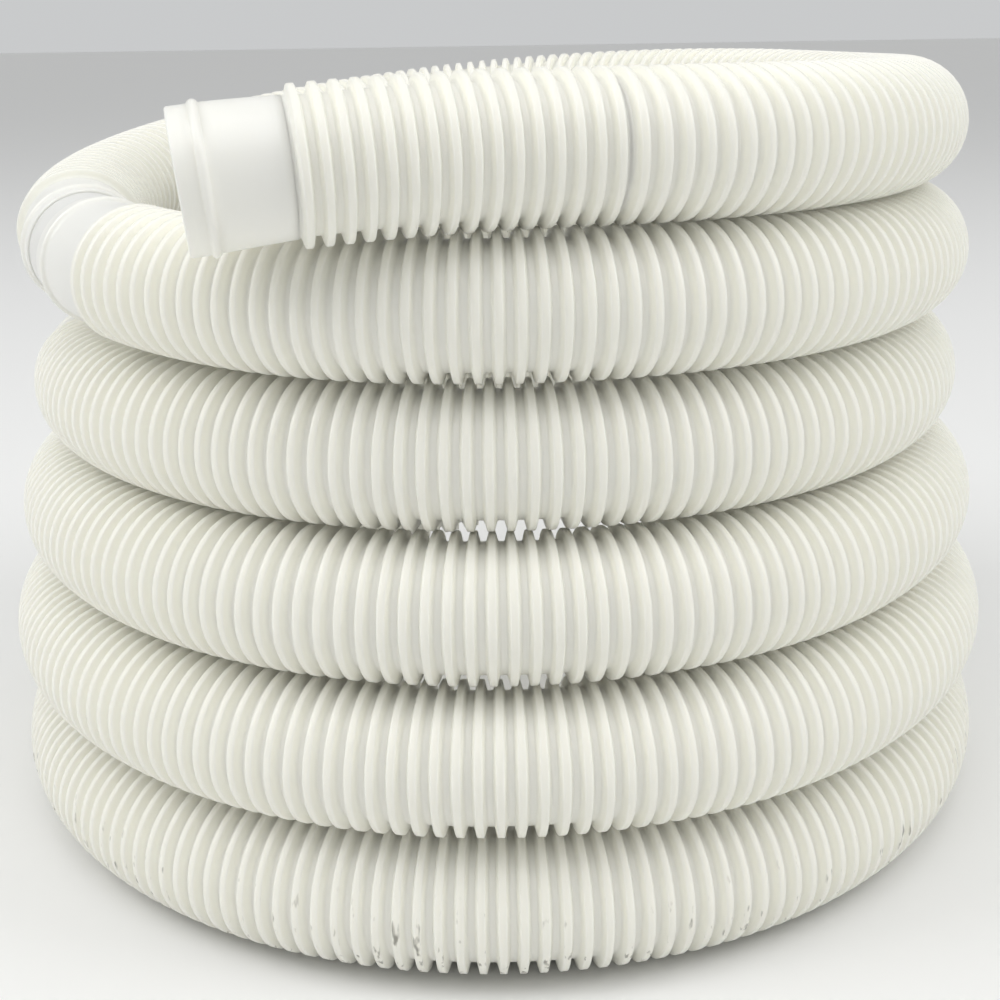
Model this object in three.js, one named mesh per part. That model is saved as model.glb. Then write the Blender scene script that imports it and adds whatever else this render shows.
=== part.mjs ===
// A corrugated suction hose for a pool vacuum, lying coiled on the floor.
//
// The hose is one long blow-moulded tube made of equal sections.  Each section is a corrugated
// length with a smooth cuff at each end, and a plain band joins the cuffs of two neighbouring
// sections.  A user cuts a band out to shorten the hose.  Millimetres, +Z up, floor at z = 0,
// the middle of the coil's box on the Z axis and its front towards -Y.

import * as THREE from 'three';

// ---------------------------------------------------------------- driving dimensions (mm, deg)

const hoseOuter = 44.4;          // across the flats of a tube as wide as the 45.5 mm crests
const hoseWall = 1.5;            // thickness of an equivalent plain wall
const hoseSides = 12;            // flat sides of the hose's cross section
const hoseStepAngle = 15;        // azimuth between two cross sections of the hose
const hoseShortest = 6;          // shortest step between two cross sections

const cuffLength = 30.5;         // mouth to first corrugation
const cuffBore = 38.2;           // socket for a 38 mm spigot
const cuffMouthOuter = 42.0;     // sleeve and lip, at the mouth
const cuffRootOuter = 40.2;      // sleeve, beside the corrugations
const lipLength = 5.8;           // plain lip in front of the bead
const beadLength = 3.1;          // raised ring behind the lip
const beadHeight = 1.1;          // how far the bead stands proud
const cuffEdge = 0.8;            // length over which its edges are eased
const lipEase = 0.4;             // how much smaller the very mouth is
const rootFlare = 0.6;           // by which the bore narrows at the cuff's root
const rootLength = 4;            // and the length over which it does
const cuffSides = 24;

const bandLength = 14.4;         // plain ring between two cuffs, cut out to part the sections
const bandOuter = 40.0;

const sectionCount = 6;
const sectionLength = 900;       // lip to lip; with its band this makes three feet
const jointGap = 0.3;            // clearance between neighbouring pieces, along the hose

const turnRadii = [155.7, 157.9, 155.0, 161.8, 166.9, 165.3];   // centrelines, top turn first
const turnSpacing = 45.8;        // height from one turn to the next
const axisBack = 6.1;            // how far the coil's axis stands behind the middle of its box
const sinkRange = [34, 180];     // azimuths between which a turn sinks to the next level
const topSinkRange = [29.6, 260];   // the top turn is free to sink more gently
const topBackRise = 5;           // and its back springs up this far

const leaveAzimuth = 281.9;      // where the top end leaves the coil on a straight line
const leaveRadius = 158.7;       // it has sprung out to this radius there
const straightLength = 121;      // from there to the top mouth
const topDroop = 6.5;            // how far the mouth hangs below the place where it leaves
const topDroopGrowth = 2.4;      // power of the run with which it gets there

const topTipLength = 85;         // mouth to the bend where the top end lifts
const topTailLength = 165;       // mouth to the bend where the top end swings out
const bottomTailLength = 115;    // mouth to the bend where the bottom end swings out

const milkWhite = 0xe9e7dc;
const cuffWhite = 0xeeece3;
const bandWhite = 0xe4e1d4;

// ---------------------------------------------------------------- the line the hose follows

const lastTurn = turnRadii.length - 1;
const totalLength = sectionCount * sectionLength + (sectionCount - 1) * bandLength;

function ease(t) {
  const clamped = Math.min(1, Math.max(0, t));
  return 0.5 - 0.5 * Math.cos(Math.PI * clamped);
}

function turnHeight(turn) {
  return hoseOuter / 2 + (lastTurn - turn) * turnSpacing;
}

const mouthAzimuth = leaveAzimuth - THREE.MathUtils.radToDeg(Math.atan(straightLength / leaveRadius));

function cylinderPoint(radius, azimuth, height) {
  const angle = THREE.MathUtils.degToRad(azimuth);
  return new THREE.Vector3(radius * Math.cos(angle), axisBack + radius * Math.sin(angle), height);
}

// The front of the top turn.  It springs outwards, then runs straight to the mouth and droops.
function topPoint(azimuth) {
  const coiled = Math.max(azimuth, leaveAzimuth);
  const out = ease((360 - coiled) / (360 - leaveAzimuth));
  const radius = turnRadii[0] + (leaveRadius - turnRadii[0]) * out;
  if (azimuth >= leaveAzimuth) {
    return cylinderPoint(radius, azimuth, turnHeight(0));
  }
  const turned = THREE.MathUtils.degToRad(leaveAzimuth - azimuth);
  const run = leaveRadius * Math.tan(turned);
  const droop = topDroop * (run / straightLength) ** topDroopGrowth;
  return cylinderPoint(leaveRadius / Math.cos(turned), azimuth, turnHeight(0) - droop);
}

// How much of the way to the next level a turn has sunk.
function sunkFrom(turn, azimuth) {
  const [start, end] = turn === 0 ? topSinkRange : sinkRange;
  return ease((azimuth - 360 * (turn + 1) - start) / (end - start));
}

// Centre of the hose at an azimuth in degrees that keeps growing from turn to turn.
function coilPoint(azimuth) {
  if (azimuth < 360) {
    return topPoint(azimuth);
  }
  const turn = Math.min(lastTurn, Math.floor((azimuth - 180) / 360));
  const next = Math.min(lastTurn, turn + 1);
  const alongBack = azimuth - 360 * (turn + 1);
  const radius = turnRadii[turn] + (turnRadii[next] - turnRadii[turn]) * ease(alongBack / 180);
  let height = turnHeight(0);
  for (let above = 0; above < lastTurn; above += 1) {
    height -= turnSpacing * sunkFrom(above, azimuth);
  }
  if (azimuth < 540) {
    height += topBackRise * Math.sin(THREE.MathUtils.degToRad(azimuth)) ** 2;
  }
  return cylinderPoint(radius, azimuth, height);
}

// Arc length from the top mouth, tabulated at equal steps of azimuth.
const azimuthStep = 0.5;
const tangentStep = 0.2;         // azimuth to either side between which the direction is taken
const travelled = [0];
while (travelled[travelled.length - 1] < totalLength + 1) {
  const from = mouthAzimuth + (travelled.length - 1) * azimuthStep;
  const stride = coilPoint(from).distanceTo(coilPoint(from + azimuthStep));
  travelled.push(travelled[travelled.length - 1] + stride);
}

function azimuthAt(length) {
  let low = 0;
  while (low < travelled.length - 2 && travelled[low + 1] < length) {
    low += 1;
  }
  const share = (length - travelled[low]) / (travelled[low + 1] - travelled[low]);
  return mouthAzimuth + (low + share) * azimuthStep;
}

function lengthAt(azimuth) {
  const position = (azimuth - mouthAzimuth) / azimuthStep;
  const low = Math.floor(position);
  return travelled[low] + (position - low) * (travelled[low + 1] - travelled[low]);
}

// Centre, outward direction and upward direction of the cross section at a length along the hose.
function sectionFrame(length) {
  const azimuth = azimuthAt(length);
  const along = coilPoint(azimuth + tangentStep).sub(coilPoint(azimuth - tangentStep)).normalize();
  const out = new THREE.Vector3(along.y, -along.x, 0).normalize();
  const up = new THREE.Vector3().crossVectors(out, along).normalize();
  return { centre: coilPoint(azimuth), out, up };
}

// ---------------------------------------------------------------- solids along the hose

// A closed shell of revolution bent along the hose.  Each ring is [length along the hose, radius];
// the rings run along the outside and come back along the bore.
function shellAlongHose(rings, sides) {
  const positions = [];
  const triangles = [];
  for (const [length, radius] of rings) {
    const frame = sectionFrame(length);
    for (let side = 0; side < sides; side += 1) {
      const angle = 2 * Math.PI * (side + 0.5) / sides;
      const point = frame.centre.clone();
      point.addScaledVector(frame.out, radius * Math.cos(angle));
      point.addScaledVector(frame.up, radius * Math.sin(angle));
      positions.push(point.x, point.y, point.z);
    }
  }
  for (let ring = 0; ring < rings.length; ring += 1) {
    const following = (ring + 1) % rings.length;
    for (let side = 0; side < sides; side += 1) {
      const beside = (side + 1) % sides;
      const a = ring * sides + side;
      const b = ring * sides + beside;
      const c = following * sides + side;
      const d = following * sides + beside;
      triangles.push(a, d, b, a, c, d);
    }
  }
  const geometry = new THREE.BufferGeometry();
  geometry.setAttribute('position', new THREE.Float32BufferAttribute(positions, 3));
  geometry.setIndex(triangles);
  geometry.computeVertexNormals();
  return geometry;
}

// A corrugated length, drawn as the plain tube that encloses its crests.  The flats of the
// cross section, not its corners, stand at the outer radius.
function hoseGeometry(from, to) {
  const stops = [from];
  const first = Math.ceil(azimuthAt(from) / hoseStepAngle);
  for (let step = first; lengthAt(step * hoseStepAngle) < to - hoseShortest; step += 1) {
    if (lengthAt(step * hoseStepAngle) > from + hoseShortest) {
      stops.push(lengthAt(step * hoseStepAngle));
    }
  }
  stops.push(to);
  const flatsToCorners = 1 / Math.cos(Math.PI / hoseSides);
  const outer = hoseOuter / 2 * flatsToCorners;
  const inner = (hoseOuter / 2 - hoseWall) * flatsToCorners;
  const outside = stops.map((length) => [length, outer]);
  const inside = stops.map((length) => [length, inner]).reverse();
  return shellAlongHose([...outside, ...inside], hoseSides);
}

// A smooth cuff.  Its mouth is at one length along the hose and its sleeve runs away from it.
function cuffGeometry(mouth, direction) {
  const mouthRadius = cuffMouthOuter / 2;
  const beadRadius = mouthRadius + beadHeight;
  const boreRadius = cuffBore / 2;
  const outline = [
    [0, mouthRadius - lipEase],
    [cuffEdge, mouthRadius],
    [lipLength, mouthRadius],
    [lipLength + cuffEdge, beadRadius],
    [lipLength + beadLength - cuffEdge, beadRadius],
    [lipLength + beadLength, mouthRadius],
    [cuffLength, cuffRootOuter / 2],
    [cuffLength, boreRadius - rootFlare],
    [cuffLength - rootLength, boreRadius],
    [0, boreRadius],
  ];
  const rings = outline.map(([depth, radius]) => [mouth + direction * depth, radius]);
  if (direction < 0) {
    rings.reverse();
  }
  return shellAlongHose(rings, cuffSides);
}

function bandGeometry(from, to) {
  const outer = bandOuter / 2;
  const inner = cuffBore / 2;
  return shellAlongHose([[from, outer], [to, outer], [to, inner], [from, inner]], cuffSides);
}

// ---------------------------------------------------------------- the assembly

const hose = new THREE.Group();
hose.name = 'pool_vacuum_hose';

function addPiece(name, geometry, colour, roughness) {
  const material = new THREE.MeshStandardMaterial({ color: colour, roughness, metalness: 0 });
  const mesh = new THREE.Mesh(geometry, material);
  mesh.name = name;
  hose.add(mesh);
}

function addHose(name, from, to) {
  addPiece(name, hoseGeometry(from + jointGap / 2, to - jointGap / 2), milkWhite, 0.45);
}

function addCuff(name, mouth, direction) {
  addPiece(name, cuffGeometry(mouth, direction), cuffWhite, 0.35);
}

for (let section = 1; section <= sectionCount; section += 1) {
  const start = (section - 1) * (sectionLength + bandLength);
  const end = start + sectionLength;
  const hoseStart = start + cuffLength;
  const hoseEnd = end - cuffLength;
  addCuff(section === 1 ? 'top_end_cuff' : `cuff_${section}_upper`, start, 1);
  if (section === 1) {
    addHose('top_tip_hose', hoseStart + jointGap / 2, topTipLength);
    addHose('top_tail_hose', topTipLength, topTailLength);
    addHose('hose_length_1', topTailLength, hoseEnd - jointGap / 2);
  } else if (section === sectionCount) {
    const bend = totalLength - bottomTailLength;
    addHose(`hose_length_${section}`, hoseStart + jointGap / 2, bend);
    addHose('bottom_tail_hose', bend, hoseEnd - jointGap / 2);
  } else {
    addHose(`hose_length_${section}`, hoseStart + jointGap / 2, hoseEnd - jointGap / 2);
  }
  addCuff(section === sectionCount ? 'bottom_end_cuff' : `cuff_${section}_lower`, end, -1);
  if (section < sectionCount) {
    const band = bandGeometry(end + jointGap, end + bandLength - jointGap);
    addPiece(`cutting_band_${section}`, band, bandWhite, 0.5);
  }
}

export default hose;
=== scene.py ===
"""Looks of the coiled pool vacuum hose: a milky, corrugated, blow-moulded tube with smooth cuffs.

Metres, +Z up, floor at z = 0.  The line the hose follows is the one its CAD pieces were made on.
"""

import math

import bpy
import numpy as np
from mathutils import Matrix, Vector


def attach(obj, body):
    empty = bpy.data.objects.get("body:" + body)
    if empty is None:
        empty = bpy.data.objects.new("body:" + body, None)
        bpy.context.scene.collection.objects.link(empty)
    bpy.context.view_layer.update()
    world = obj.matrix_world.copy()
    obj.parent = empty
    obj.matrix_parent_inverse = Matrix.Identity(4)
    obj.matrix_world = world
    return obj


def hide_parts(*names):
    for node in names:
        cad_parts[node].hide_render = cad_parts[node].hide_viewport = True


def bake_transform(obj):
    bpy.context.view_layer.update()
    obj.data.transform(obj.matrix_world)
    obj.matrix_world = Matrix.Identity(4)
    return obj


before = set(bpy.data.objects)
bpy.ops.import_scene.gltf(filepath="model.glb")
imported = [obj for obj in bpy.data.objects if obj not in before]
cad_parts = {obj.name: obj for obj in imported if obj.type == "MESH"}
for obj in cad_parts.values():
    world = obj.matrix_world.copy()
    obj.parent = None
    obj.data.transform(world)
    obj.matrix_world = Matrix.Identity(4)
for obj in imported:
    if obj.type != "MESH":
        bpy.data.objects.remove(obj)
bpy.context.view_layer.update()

MM = 0.001

# ------------------------------------------------------------------ the hose's driving dimensions

CREST_RADIUS = 23.0 * MM         # over the crests of the corrugations
FLAT_RADIUS = 22.2 * MM          # the plain tube that stands for them in the CAD
RIDGE_DEPTH = 3.3 * MM           # crest to valley
TOP_RIDGE_PITCH = 5.8 * MM       # the stretched top section
BOTTOM_RIDGE_PITCH = 5.6 * MM    # and the pressed bottom one
CREST_HALF = 0.15                # half the flat top of a crest, in pitches
FLANK = 0.20                     # width of its side, in pitches
BORE_RADIUS = 16.8 * MM
BORE_STEP = 6 * MM
HOSE_SIDES = 44
CUFF_SIDES = 72
END_EDGE = 0.03 * MM             # keeps the shading of a piece's end off its ridges
END_CLEAR = 0.2 * MM             # no ring of a ridge is nearer than this to an end
FADE_START = 0.1                 # where the ridges start beside a cuff, in pitches
FADE_END = 0.15                  # and where they no longer touch its sleeve

CUFF_LENGTH = 30.5 * MM
CUFF_BORE = 19.1 * MM            # radii from here on
CUFF_MOUTH = 20.9 * MM
CUFF_ROOT = 20.1 * MM
BEAD_HEIGHT = 1.1 * MM
LIP_LENGTH = 5.8 * MM
BEAD_LENGTH = 3.1 * MM
LIP_ROUND = 0.7 * MM
MOUTH_BEVEL = 0.5 * MM
ROOT_STEP = 1.1 * MM             # how far the cuff's root tucks in under the first ridge
ROOT_RUN = 5 * MM

BAND_LENGTH = 14.4 * MM
BAND_RADIUS = 20.0 * MM

SECTIONS = 6
SECTION_LENGTH = 900 * MM
GAP = 0.3 * MM

TURN_RADII = [155.7 * MM, 157.9 * MM, 155.0 * MM, 161.8 * MM, 166.9 * MM, 165.3 * MM]
TURN_SPACING = 45.8 * MM
AXIS_BACK = 6.1 * MM
SINK_RANGE = (34, 180)
TOP_SINK_RANGE = (29.6, 260)
TOP_BACK_RISE = 5 * MM
TOP_BACK_END = 540               # azimuth where the back of the top turn ends
LEAVE_AZIMUTH = 281.9
LEAVE_RADIUS = 158.7 * MM
STRAIGHT_LENGTH = 121 * MM
TOP_DROOP = 6.5 * MM
TOP_DROOP_GROWTH = 2.4

TOP_TIP = 85 * MM                # lengths from the nearest mouth to each bend
TOP_TAIL = 165 * MM
BOTTOM_TAIL = 115 * MM
BEND_HALF = 30 * MM              # half the span given around each bend
BEND = 45 * MM                   # and its piece ends this far past it

AZIMUTH_STEP = 0.25
TANGENT_STEP = 0.2

LAST_TURN = len(TURN_RADII) - 1
TOTAL_LENGTH = SECTIONS * SECTION_LENGTH + (SECTIONS - 1) * BAND_LENGTH
MOUTH_AZIMUTH = LEAVE_AZIMUTH - math.degrees(math.atan(STRAIGHT_LENGTH / LEAVE_RADIUS))


# ------------------------------------------------------------------ camera

def make_camera():
    distance, height, tilt, roll = 0.5755, 0.2821, 10.09, -0.88
    data = bpy.data.cameras.new("camera")
    data.lens = 52.3
    data.sensor_width = 36
    data.shift_x = 0.0064
    data.shift_y = -0.2026       # the view is the lower part of a wider one
    data.clip_start = 0.01
    camera = bpy.data.objects.new("camera", data)
    bpy.context.scene.collection.objects.link(camera)
    camera.location = (0, AXIS_BACK - distance, height)
    camera.rotation_euler = (math.radians(90 - tilt), 0, 0)
    camera.rotation_euler.rotate_axis("Z", math.radians(roll))
    bpy.context.scene.camera = camera


# ------------------------------------------------------------------ the line the hose follows

def ease(t):
    return 0.5 - 0.5 * np.cos(np.pi * np.clip(t, 0, 1))


def turn_height(turn):
    return FLAT_RADIUS + (LAST_TURN - turn) * TURN_SPACING


def coil_points(azimuth):
    """Centres of the hose at azimuths, in degrees that keep growing from turn to turn."""
    azimuth = np.asarray(azimuth, float)
    turn = np.minimum(LAST_TURN, np.floor((azimuth - 180) / 360)).astype(int)
    turn = np.maximum(turn, 0)
    following = np.minimum(LAST_TURN, turn + 1)
    radii = np.array(TURN_RADII)
    along_back = azimuth - 360 * (turn + 1)
    radius = radii[turn] + (radii[following] - radii[turn]) * ease(along_back / 180)
    height = turn_height(0)
    for above in range(LAST_TURN):
        sink_start, sink_end = TOP_SINK_RANGE if above == 0 else SINK_RANGE
        begin = 360 * (above + 1) + sink_start
        height = height - TURN_SPACING * ease((azimuth - begin) / (sink_end - sink_start))
    spring = TOP_BACK_RISE * np.sin(np.radians(azimuth)) ** 2
    height = height + np.where(azimuth < TOP_BACK_END, spring, 0)

    # the front of the top turn springs out, then runs straight to the mouth and droops
    out = ease((360 - np.maximum(azimuth, LEAVE_AZIMUTH)) / (360 - LEAVE_AZIMUTH))
    top_radius = radii[0] + (LEAVE_RADIUS - radii[0]) * out
    turned = np.radians(np.clip(LEAVE_AZIMUTH - azimuth, 0, 60))
    run = LEAVE_RADIUS * np.tan(turned)
    top_radius = top_radius / np.cos(turned)
    top_height = turn_height(0) - TOP_DROOP * (run / STRAIGHT_LENGTH) ** TOP_DROOP_GROWTH

    front = azimuth < 360
    radius = np.where(front, top_radius, radius)
    height = np.where(front, top_height, height)
    angle = np.radians(azimuth)
    return np.stack([radius * np.cos(angle), AXIS_BACK + radius * np.sin(angle), height], -1)


AZIMUTHS = np.arange(MOUTH_AZIMUTH, 360 * (SECTIONS + 1), AZIMUTH_STEP)
TRAVELLED = np.concatenate(
    [[0], np.cumsum(np.linalg.norm(np.diff(coil_points(AZIMUTHS), axis=0), axis=1))]
)


def section_frames(lengths):
    """Centres, outward and upward directions of the cross sections at lengths along the hose."""
    azimuth = np.interp(lengths, TRAVELLED, AZIMUTHS)
    along = coil_points(azimuth + TANGENT_STEP) - coil_points(azimuth - TANGENT_STEP)
    along /= np.linalg.norm(along, axis=1, keepdims=True)
    out = np.stack([along[:, 1], -along[:, 0], np.zeros(len(along))], -1)
    out /= np.linalg.norm(out, axis=1, keepdims=True)
    return coil_points(azimuth), out, np.cross(out, along)


# ------------------------------------------------------------------ meshes along the hose

def shell_along_hose(name, rings, sides):
    """A closed shell bent along the hose.  rings are (length along the hose, radius), out along the
    outside and back along the bore."""
    rings = np.array(rings)
    centre, out, up = section_frames(rings[:, 0])
    angle = 2 * np.pi * np.arange(sides) / sides
    radius = rings[:, 1][:, None, None]
    points = centre[:, None] + radius * (
        np.cos(angle)[None, :, None] * out[:, None] + np.sin(angle)[None, :, None] * up[:, None]
    )
    count = len(rings)
    ring = np.arange(count)[:, None]
    side = np.arange(sides)[None, :]
    here = ring * sides
    following = (ring + 1) % count * sides
    beside = (side + 1) % sides
    faces = np.stack([here + side, following + side, following + beside, here + beside], -1)
    mesh = bpy.data.meshes.new(name)
    mesh.from_pydata(points.reshape(-1, 3).tolist(), [], faces.reshape(-1, 4).tolist())
    mesh.polygons.foreach_set("use_smooth", np.ones(len(mesh.polygons), bool))
    mesh.update()
    piece = bpy.data.objects.new(name, mesh)
    bpy.context.scene.collection.objects.link(piece)
    return piece


def ridge_height(position):
    """Height of the corrugation, 0 in a valley and 1 on a crest, at a position in pitches.
    The crests are flat-topped, the valleys a little wider than they are."""
    from_crest = np.abs(position - np.round(position))
    return 1 - ease((from_crest - CREST_HALF) / FLANK)


def pitch_between(first, last):
    """The corrugations' pitch in a section, which fits it exactly."""
    share = first / TOTAL_LENGTH
    pitch = TOP_RIDGE_PITCH + (BOTTOM_RIDGE_PITCH - TOP_RIDGE_PITCH) * share
    return (last - first) / round((last - first) / pitch)


def valley_near(length, first, last):
    """The valley nearest to a length, where a section can be parted unseen."""
    pitch = pitch_between(first, last)
    return first + round((length - first) / pitch) * pitch


def corrugated(name, start, end, first, last):
    """A corrugated length of the hose between start and end, of a run of ridges that begins at
    first and ends at last, where the ridges fade into the cuffs' sleeves."""
    pitch = pitch_between(first, last)
    ridges = round((last - first) / pitch)
    to_edge = np.array([0.5, 0.40, 0.33, 0.25, 0.18, CREST_HALF])
    steps = np.concatenate([0.5 - to_edge, [0.5], 0.5 + to_edge[:0:-1]])

    positions = (np.arange(ridges)[:, None] + steps[None]).ravel()
    lengths = first + positions * pitch
    within = (lengths > start + END_CLEAR) & (lengths < end - END_CLEAR)
    lengths = np.concatenate(
        [[start, start + END_EDGE], lengths[within], [end - END_EDGE, end]]
    )
    height = ridge_height((lengths - first) / pitch - 0.5)
    to_cuff = np.minimum(lengths - first, last - lengths)
    height = np.where(to_cuff < FADE_START * pitch, 0, height)
    sleeve = 1 - ease(to_cuff / (FADE_END * pitch))
    radius = CREST_RADIUS - RIDGE_DEPTH * (1 - height)
    radius = radius + (CUFF_ROOT - radius) * sleeve
    outside = np.stack([lengths, radius], -1)

    bore_lengths = np.linspace(end, start, max(4, round((end - start) / BORE_STEP)))
    bore = np.stack([bore_lengths, np.full(len(bore_lengths), BORE_RADIUS)], -1)
    piece = shell_along_hose(name, np.concatenate([outside, bore]), HOSE_SIDES)
    ridge = piece.data.attributes.new("ridge", "FLOAT", "POINT")
    both = np.concatenate([height, np.zeros(len(bore))])
    ridge.data.foreach_set("value", both.repeat(HOSE_SIDES).astype(np.float32))
    return piece


def cuff(name, mouth, direction):
    """A smooth cuff: lip, bead and tapering sleeve.  Depths run in from the mouth."""
    taper = (CUFF_ROOT - CUFF_MOUTH) / (CUFF_LENGTH - LIP_LENGTH - BEAD_LENGTH)

    def sleeve(depth):
        return CUFF_MOUTH + taper * max(0, depth - LIP_LENGTH - BEAD_LENGTH)

    outline = [(0, CUFF_BORE + MOUTH_BEVEL)]
    for step in range(5):
        turned = step / 4 * math.pi / 2
        depth = LIP_ROUND * (1 - math.cos(turned))
        outline.append((depth, CUFF_MOUTH - LIP_ROUND * (1 - math.sin(turned))))
    outline.append((LIP_LENGTH * 0.5, CUFF_MOUTH))
    for step in range(13):
        share = step / 12
        depth = LIP_LENGTH + share * BEAD_LENGTH
        outline.append((depth, CUFF_MOUTH + BEAD_HEIGHT * math.sin(math.pi * share) ** 0.7))
    for step in range(1, 9):
        depth = LIP_LENGTH + BEAD_LENGTH + step / 8 * (CUFF_LENGTH - LIP_LENGTH - BEAD_LENGTH)
        outline.append((depth, sleeve(depth)))
    outline.append((CUFF_LENGTH, CUFF_ROOT - ROOT_STEP))
    outline.append((CUFF_LENGTH - ROOT_RUN, CUFF_BORE))
    outline.append((CUFF_LENGTH / 2, CUFF_BORE))
    outline.append((1.5 * MM, CUFF_BORE))
    outline.append((0.3 * MM, CUFF_BORE + 0.2 * MM))
    rings = [(mouth + direction * depth, radius) for depth, radius in outline]
    if direction < 0:
        rings.reverse()
    return shell_along_hose(name, rings, CUFF_SIDES)


def band(name, start, end):
    """The plain ring between two cuffs, a little smaller than their lips."""
    outline = [(start, CUFF_BORE), (start, BAND_RADIUS)]
    for step in range(1, 6):
        outline.append((start + step / 6 * (end - start), BAND_RADIUS))
    outline += [(end, BAND_RADIUS), (end, CUFF_BORE)]
    return shell_along_hose(name, outline, CUFF_SIDES)


# ------------------------------------------------------------------ materials

TONE_DRIFT_SCALE = 14
GRAIN_SCALE = 700
GRAIN_DEPTH = 0.05 * MM
SCUFF_SCALE = 420
SCUFF_STRETCH = 0.3              # of the noise's upright axis: the scuffs run along the ridges
SCUFF_RANGE = (0.62, 0.72)       # noise values between which a scuff fades in
SCUFF_COLOUR = (0.36, 0.35, 0.31, 1)
SCUFFED_BELOW = (0.034, 0.022)   # heights between which they fade in, in metres
MILK_DEPTH = 2.5 * MM            # how far light goes into the plastic

HOSE_WHITE = (0.915, 0.905, 0.83)
HOSE_STAINED = (0.885, 0.873, 0.79)
# painted light: the valleys are coloured lighter than the crests, standing in for light that comes
# through the thin milky walls into them and lifting their shade
HOSE_VALLEY_PAINTED_LIGHT = (0.965, 0.952, 0.875)
CUFF_WHITE = (0.90, 0.893, 0.84)
CUFF_STAINED = (0.88, 0.872, 0.81)
BAND_WHITE = (0.85, 0.845, 0.80)
BAND_STAINED = (0.82, 0.815, 0.77)


def node_material(name):
    material = bpy.data.materials.new(name)
    material.use_nodes = True
    nodes = material.node_tree.nodes
    return material, nodes, material.node_tree.links, nodes["Principled BSDF"]


def plastic(name, base, stained, roughness):
    """Milky, waxy polyethylene, whose tone drifts.  Gives the material and the nodes for more."""
    material, nodes, links, shader = node_material(name)
    place = nodes.new("ShaderNodeTexCoord")

    drift = nodes.new("ShaderNodeTexNoise")
    drift.inputs["Scale"].default_value = TONE_DRIFT_SCALE
    drift.inputs["Detail"].default_value = 4
    links.new(place.outputs["Object"], drift.inputs["Vector"])
    tone = nodes.new("ShaderNodeMix")
    tone.data_type = "RGBA"
    tone.inputs["A"].default_value = (*base, 1)
    tone.inputs["B"].default_value = (*stained, 1)
    links.new(drift.outputs["Fac"], tone.inputs["Factor"])
    links.new(tone.outputs["Result"], shader.inputs["Base Color"])

    grain = nodes.new("ShaderNodeTexNoise")
    grain.inputs["Scale"].default_value = GRAIN_SCALE
    grain.inputs["Detail"].default_value = 3
    links.new(place.outputs["Object"], grain.inputs["Vector"])
    gloss = nodes.new("ShaderNodeMapRange")
    gloss.inputs["To Min"].default_value = roughness - 0.06
    gloss.inputs["To Max"].default_value = roughness + 0.08
    links.new(grain.outputs["Fac"], gloss.inputs["Value"])
    links.new(gloss.outputs["Result"], shader.inputs["Roughness"])

    bump = nodes.new("ShaderNodeBump")
    bump.inputs["Strength"].default_value = 0.25
    bump.inputs["Distance"].default_value = GRAIN_DEPTH
    links.new(grain.outputs["Fac"], bump.inputs["Height"])
    links.new(bump.outputs["Normal"], shader.inputs["Normal"])

    shader.inputs["Subsurface Weight"].default_value = 0.7
    shader.inputs["Subsurface Radius"].default_value = (1.0, 0.98, 0.95)
    shader.inputs["Subsurface Scale"].default_value = MILK_DEPTH
    shader.inputs["IOR"].default_value = 1.5
    shader.inputs["Specular IOR Level"].default_value = 0.4
    return material, place, tone


def scuffed(name, base, stained, between, roughness):
    """The hose's plastic, with short dark scuffs on the crests that rub along the floor, and painted
    light in its valleys, which are coloured lighter than its crests.
    """
    material, place, tone = plastic(name, base, stained, roughness)
    nodes, links = material.node_tree.nodes, material.node_tree.links
    shader = nodes["Principled BSDF"]

    stretched = nodes.new("ShaderNodeMapping")
    stretched.inputs["Scale"].default_value = (1, 1, SCUFF_STRETCH)
    links.new(place.outputs["Object"], stretched.inputs["Vector"])
    spots = nodes.new("ShaderNodeTexNoise")
    spots.inputs["Scale"].default_value = SCUFF_SCALE
    spots.inputs["Detail"].default_value = 2
    links.new(stretched.outputs["Vector"], spots.inputs["Vector"])
    chosen = nodes.new("ShaderNodeMapRange")
    chosen.inputs["From Min"].default_value = SCUFF_RANGE[0]
    chosen.inputs["From Max"].default_value = SCUFF_RANGE[1]
    links.new(spots.outputs["Fac"], chosen.inputs["Value"])

    ridge = nodes.new("ShaderNodeAttribute")
    ridge.attribute_name = "ridge"
    crest = nodes.new("ShaderNodeMapRange")
    crest.inputs["From Min"].default_value = 0.8
    crest.inputs["From Max"].default_value = 1.0
    links.new(ridge.outputs["Fac"], crest.inputs["Value"])

    height = nodes.new("ShaderNodeSeparateXYZ")
    links.new(place.outputs["Object"], height.inputs["Vector"])
    low = nodes.new("ShaderNodeMapRange")
    low.inputs["From Min"].default_value = SCUFFED_BELOW[0]
    low.inputs["From Max"].default_value = SCUFFED_BELOW[1]
    links.new(height.outputs["Z"], low.inputs["Value"])

    on_crest = nodes.new("ShaderNodeMath")
    on_crest.operation = "MULTIPLY"
    links.new(chosen.outputs["Result"], on_crest.inputs[0])
    links.new(crest.outputs["Result"], on_crest.inputs[1])
    near_floor = nodes.new("ShaderNodeMath")
    near_floor.operation = "MULTIPLY"
    links.new(on_crest.outputs["Value"], near_floor.inputs[0])
    links.new(low.outputs["Result"], near_floor.inputs[1])

    # painted light: towards the valleys, where the ridge attribute falls to 0, the colour goes over
    # to the lighter valley colour
    valley = nodes.new("ShaderNodeMix")
    valley.data_type = "RGBA"
    valley.inputs["A"].default_value = (*between, 1)
    links.new(ridge.outputs["Fac"], valley.inputs["Factor"])
    links.new(tone.outputs["Result"], valley.inputs["B"])

    marked = nodes.new("ShaderNodeMix")
    marked.data_type = "RGBA"
    marked.inputs["B"].default_value = SCUFF_COLOUR
    links.new(near_floor.outputs["Value"], marked.inputs["Factor"])
    links.new(valley.outputs["Result"], marked.inputs["A"])
    links.new(marked.outputs["Result"], shader.inputs["Base Color"])
    return material


# ------------------------------------------------------------------ the assembly

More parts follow.
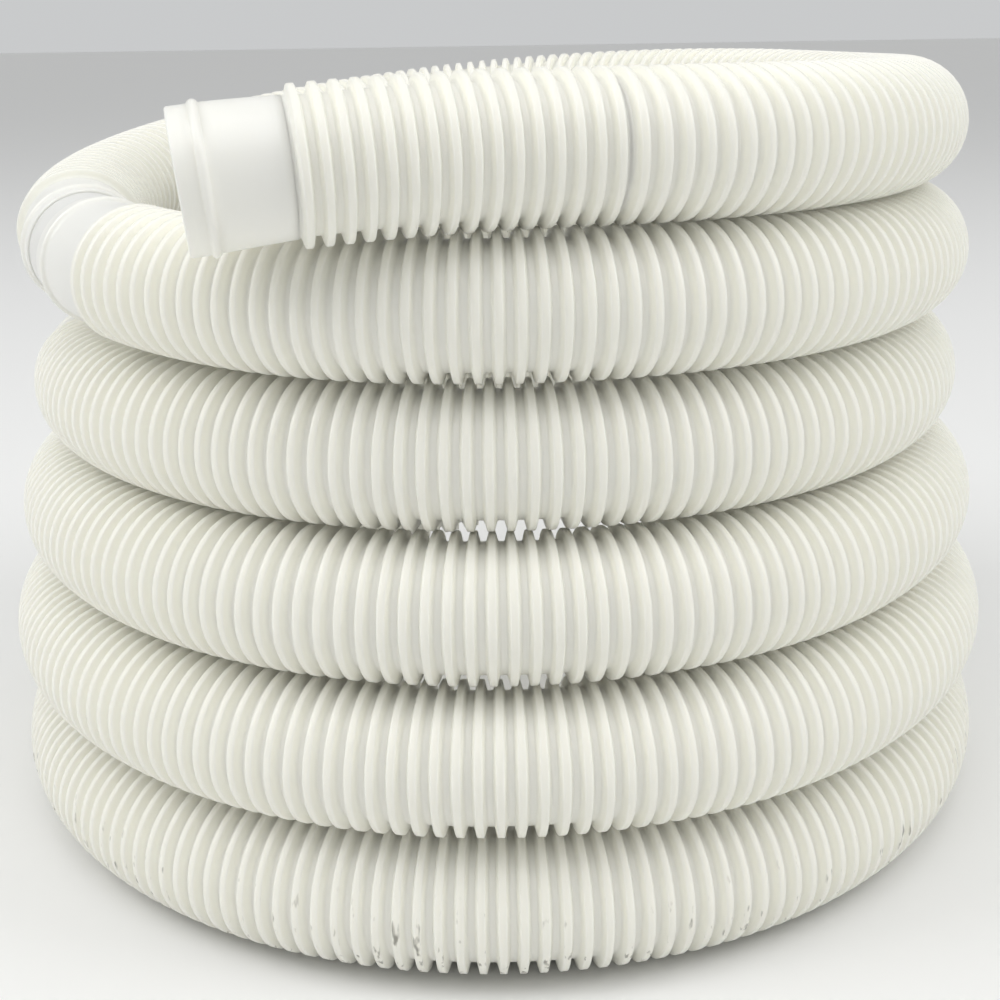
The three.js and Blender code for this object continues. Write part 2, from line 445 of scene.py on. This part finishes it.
make_camera()
HOSE_PLASTIC = scuffed("milky_plastic", HOSE_WHITE, HOSE_STAINED, HOSE_VALLEY_PAINTED_LIGHT, 0.40)
CUFF_PLASTIC = plastic("cuff_plastic", CUFF_WHITE, CUFF_STAINED, 0.30)[0]
BAND_PLASTIC = plastic("band_plastic", BAND_WHITE, BAND_STAINED, 0.45)[0]


def finished(piece, node, material, body="coil"):
    """Gives a piece its material and lets it stand for the CAD node of its name."""
    piece.data.materials.append(material)
    if body:
        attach(piece, body)
    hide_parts(node)
    return piece


def declare(start, end):
    """Samples the centre line of a corrugated length at about 12 mm steps; nothing is done with the
    points.
    """
    count = max(12, round((end - start) / (12 * MM)))
    path = section_frames(np.linspace(start, end, count))[0]


def section_cuff(node, mouth, direction, body="coil"):
    piece = cuff(node + "_moulded", mouth, direction)
    return finished(piece, node, CUFF_PLASTIC, body)


def section_hose(node, start, end, first, last, body="coil"):
    piece = corrugated(node + "_corrugated", start, end, first, last)
    return finished(piece, node, HOSE_PLASTIC, body)


def bend_between(piece, start, end):
    """Bakes the piece's transform into its mesh; the centres at start and end are worked out but not
    used, and nothing is bent.
    """
    points = section_frames(np.array([start, end]))[0]
    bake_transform(piece)


def top_section(first, last):
    """The section whose front lies loose, parted into three pieces so that each of the two places
    given for a bend lies inside a piece of its own.
    """
    tip_end = valley_near((TOP_TIP + TOP_TAIL) / 2, first, last)
    tail_end = valley_near(TOP_TAIL + BEND, first, last)
    tip = section_hose("top_tip_hose", first, tip_end, first, last, None)
    bend_between(tip, TOP_TIP + BEND_HALF, TOP_TIP - BEND_HALF)
    tail = section_hose("top_tail_hose", tip_end, tail_end, first, last, None)
    bend_between(tail, TOP_TAIL + BEND_HALF, TOP_TAIL - BEND_HALF)
    rest = section_hose("hose_length_1", tail_end, last, first, last)
    declare(tail_end, last)


def bottom_section(first, last):
    """The section whose end pulls out from under the coil."""
    bend = TOTAL_LENGTH - BOTTOM_TAIL
    parting = valley_near(bend - BEND_HALF, first, last)
    rest = section_hose(f"hose_length_{SECTIONS}", first, parting, first, last)
    tail = section_hose("bottom_tail_hose", parting, last, first, last, None)
    bend_between(tail, bend - BEND_HALF, bend + BEND_HALF)
    declare(first, parting)


def build_hose():
    for section in range(1, SECTIONS + 1):
        start = (section - 1) * (SECTION_LENGTH + BAND_LENGTH)
        end = start + SECTION_LENGTH
        first = start + CUFF_LENGTH
        last = end - CUFF_LENGTH
        top = section == 1
        bottom = section == SECTIONS
        upper_node = "top_end_cuff" if top else f"cuff_{section}_upper"
        lower_node = "bottom_end_cuff" if bottom else f"cuff_{section}_lower"
        upper = section_cuff(upper_node, start, 1, "top_tip" if top else "coil")
        lower = section_cuff(lower_node, end, -1, "bottom_end" if bottom else "coil")
        if top:
            top_section(first, last)
        elif bottom:
            bottom_section(first, last)
        else:
            whole = section_hose(f"hose_length_{section}", first, last, first, last)
            declare(first, last)
        if not bottom:
            ring = band(f"cutting_band_{section}_moulded", end + GAP, end + BAND_LENGTH - GAP)
            finished(ring, f"cutting_band_{section}", BAND_PLASTIC)


build_hose()


# ------------------------------------------------------------------ floor and light

FLOOR_HALF = 60
FLOOR_COLOUR = (0.86, 0.86, 0.85, 1)
ROOM_TINT = (0.975, 0.99, 1.0)   # of its brightness, in red, green and blue
ROOM_STOPS = [(0.0, 0.60), (0.05, 0.60), (0.2, 0.40), (0.4, 0.34), (0.7, 0.36), (1.0, 0.45)]
SKY_ENERGY = 0.7
SKY_SPREAD = 60                  # degrees
SKY_TILT = 16                    # degrees towards the front


def make_floor():
    mesh = bpy.data.meshes.new("floor")
    level = FLAT_RADIUS - CREST_RADIUS
    signs = [(-1, -1), (1, -1), (1, 1), (-1, 1)]
    corners = [(FLOOR_HALF * x, FLOOR_HALF * y, level) for x, y in signs]
    mesh.from_pydata(corners, [], [(0, 1, 2, 3)])
    floor = bpy.data.objects.new("floor", mesh)
    bpy.context.scene.collection.objects.link(floor)
    material, nodes, links, shader = node_material("pale_floor")
    shader.inputs["Base Color"].default_value = FLOOR_COLOUR
    shader.inputs["Roughness"].default_value = 0.8
    mesh.materials.append(material)


def softbox(name, location, target, size, power):
    data = bpy.data.lights.new(name, "AREA")
    data.shape = "RECTANGLE"
    data.size, data.size_y = size
    data.energy = power
    light = bpy.data.objects.new(name, data)
    bpy.context.scene.collection.objects.link(light)
    light.location = location
    aim = Vector(target) - Vector(location)
    light.rotation_euler = aim.to_track_quat("-Z", "Y").to_euler()


def make_world():
    """A white room, a little brighter overhead and just behind the edge of the floor."""
    world = bpy.data.worlds.new("studio")
    world.use_nodes = True
    nodes, links = world.node_tree.nodes, world.node_tree.links
    place = nodes.new("ShaderNodeTexCoord")
    height = nodes.new("ShaderNodeSeparateXYZ")
    links.new(place.outputs["Generated"], height.inputs["Vector"])
    ramp = nodes.new("ShaderNodeValToRGB")
    while len(ramp.color_ramp.elements) < len(ROOM_STOPS):
        ramp.color_ramp.elements.new(0.5)
    for element, (position, brightness) in zip(ramp.color_ramp.elements, ROOM_STOPS):
        element.position = position
        element.color = (*[brightness * tint for tint in ROOM_TINT], 1)
    links.new(height.outputs["Z"], ramp.inputs["Fac"])
    links.new(ramp.outputs["Color"], nodes["Background"].inputs["Color"])
    bpy.context.scene.world = world


def make_light():
    make_world()
    sky = bpy.data.lights.new("sky", "SUN")
    sky.energy = SKY_ENERGY
    sky.angle = math.radians(SKY_SPREAD)
    sky_light = bpy.data.objects.new("sky", sky)
    sky_light.rotation_euler = (math.radians(SKY_TILT), 0, 0)
    bpy.context.scene.collection.objects.link(sky_light)
    middle = (0, 0, 0.15)
    softbox("key", (-0.05, -0.38, 0.95), (0, -0.15, 0.25), (0.7, 0.7), 1.1)
    softbox("left_side", (-2.0, -0.3, 1.8), middle, (1.4, 1.4), 24)
    softbox("right_side", (2.0, -0.3, 1.8), middle, (1.4, 1.4), 21)
    bpy.context.scene.view_settings.view_transform = "Standard"


make_floor()
make_light()
